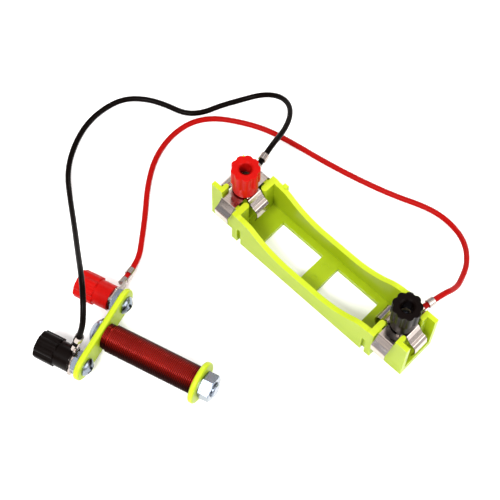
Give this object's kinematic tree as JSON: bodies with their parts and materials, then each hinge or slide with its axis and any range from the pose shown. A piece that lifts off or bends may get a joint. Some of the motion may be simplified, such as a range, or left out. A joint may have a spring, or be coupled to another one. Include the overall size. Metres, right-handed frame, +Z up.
{
  "type": "electromagnet kit with battery box",
  "caption": "One-cell battery box with two binding posts, joined by two leads with fork lugs to a coil wound on a steel bolt with its own binding posts.",
  "frame": {"origin": "centre of the battery box's underside, on the table", "axes": "+X along the battery box from its red post to its black post, +Z up"},
  "size_m": [0.1383, 0.1291, 0.0297],
  "materials": {
    "lime_plastic": "satin moulded, slightly translucent",
    "red_plastic": "moulded, semi gloss",
    "black_plastic": "moulded, semi gloss",
    "nickel_sheet": "bright nickel plate",
    "zinc_steel": "bright zinc plate",
    "brass": "turned",
    "enamelled_wire": "glossy dark red enamel over copper",
    "black_lead": "soft glossy sheath",
    "red_lead": "soft glossy sheath"
  },
  "bodies": {
    "root": {"battery_box": "lime_plastic", "spring_clip_red_end": "nickel_sheet", "spring_clip_black_end": "nickel_sheet", "box_post_screws": "zinc_steel", "bobbin": "lime_plastic", "core_bolt": "zinc_steel", "core_nut": "zinc_steel", "winding_inner_layers": "enamelled_wire", "winding_outer_layer": "enamelled_wire", "magnet_post_screws": "zinc_steel", "magnet_post_nuts": "zinc_steel", "lug_black_lead_box": "nickel_sheet", "lug_red_lead_box": "nickel_sheet", "lug_red_lead_magnet": "nickel_sheet", "lug_black_lead_magnet": "nickel_sheet", "lead_black": "black_lead", "lead_red": "red_lead"},
    "box_red_thread": {"box_red_knob_insert": "brass"},
    "box_black_thread": {"box_black_knob_insert": "brass"},
    "magnet_red_thread": {"magnet_red_knob_insert": "brass"},
    "magnet_black_thread": {"magnet_black_knob_insert": "brass"},
    "box_red_grip": {"box_red_knob": "red_plastic"},
    "box_black_grip": {"box_black_knob": "black_plastic"},
    "magnet_red_grip": {"magnet_red_knob": "red_plastic"},
    "magnet_black_grip": {"magnet_black_knob": "black_plastic"}
  },
  "joints": [
    {"name": "box_red_rise", "type": "slide", "parent": "root", "child": "box_red_thread", "axis": [0, 0, 1], "range_m": [0, 0.0028]},
    {"name": "box_red_turn", "type": "hinge", "parent": "box_red_thread", "child": "box_red_grip", "pos_m": [-0.0336, 0, 0.0168], "axis": [0, 0, 1], "range_deg": [0, 1441]},
    {"name": "box_black_rise", "type": "slide", "parent": "root", "child": "box_black_thread", "axis": [0, 0, 1], "range_m": [0, 0.0028]},
    {"name": "box_black_turn", "type": "hinge", "parent": "box_black_thread", "child": "box_black_grip", "pos_m": [0.0336, 0, 0.0168], "axis": [0, 0, 1], "range_deg": [0, 1441]},
    {"name": "magnet_red_rise", "type": "slide", "parent": "root", "child": "magnet_red_thread", "axis": [-0.9627, -0.267, -0.0449], "range_m": [0, 0.0028]},
    {"name": "magnet_red_turn", "type": "hinge", "parent": "magnet_red_thread", "child": "magnet_red_grip", "pos_m": [-0.03951, -0.05339, 0.00534], "axis": [-0.9627, -0.267, -0.0449], "range_deg": [0, 1441]},
    {"name": "magnet_black_rise", "type": "slide", "parent": "root", "child": "magnet_black_thread", "axis": [-0.9627, -0.267, -0.0449], "range_m": [0, 0.0028]},
    {"name": "magnet_black_turn", "type": "hinge", "parent": "magnet_black_thread", "child": "magnet_black_grip", "pos_m": [-0.03315, -0.07632, 0.00534], "axis": [-0.9627, -0.267, -0.0449], "range_deg": [0, 1441]}
  ],
  "couplings": [
    {"joint": "box_red_turn", "follows": "box_red_rise", "rad_per_m": 8976},
    {"joint": "box_black_turn", "follows": "box_black_rise", "rad_per_m": 8976},
    {"joint": "magnet_red_turn", "follows": "magnet_red_rise", "rad_per_m": 8976},
    {"joint": "magnet_black_turn", "follows": "magnet_black_rise", "rad_per_m": 8976}
  ]
}
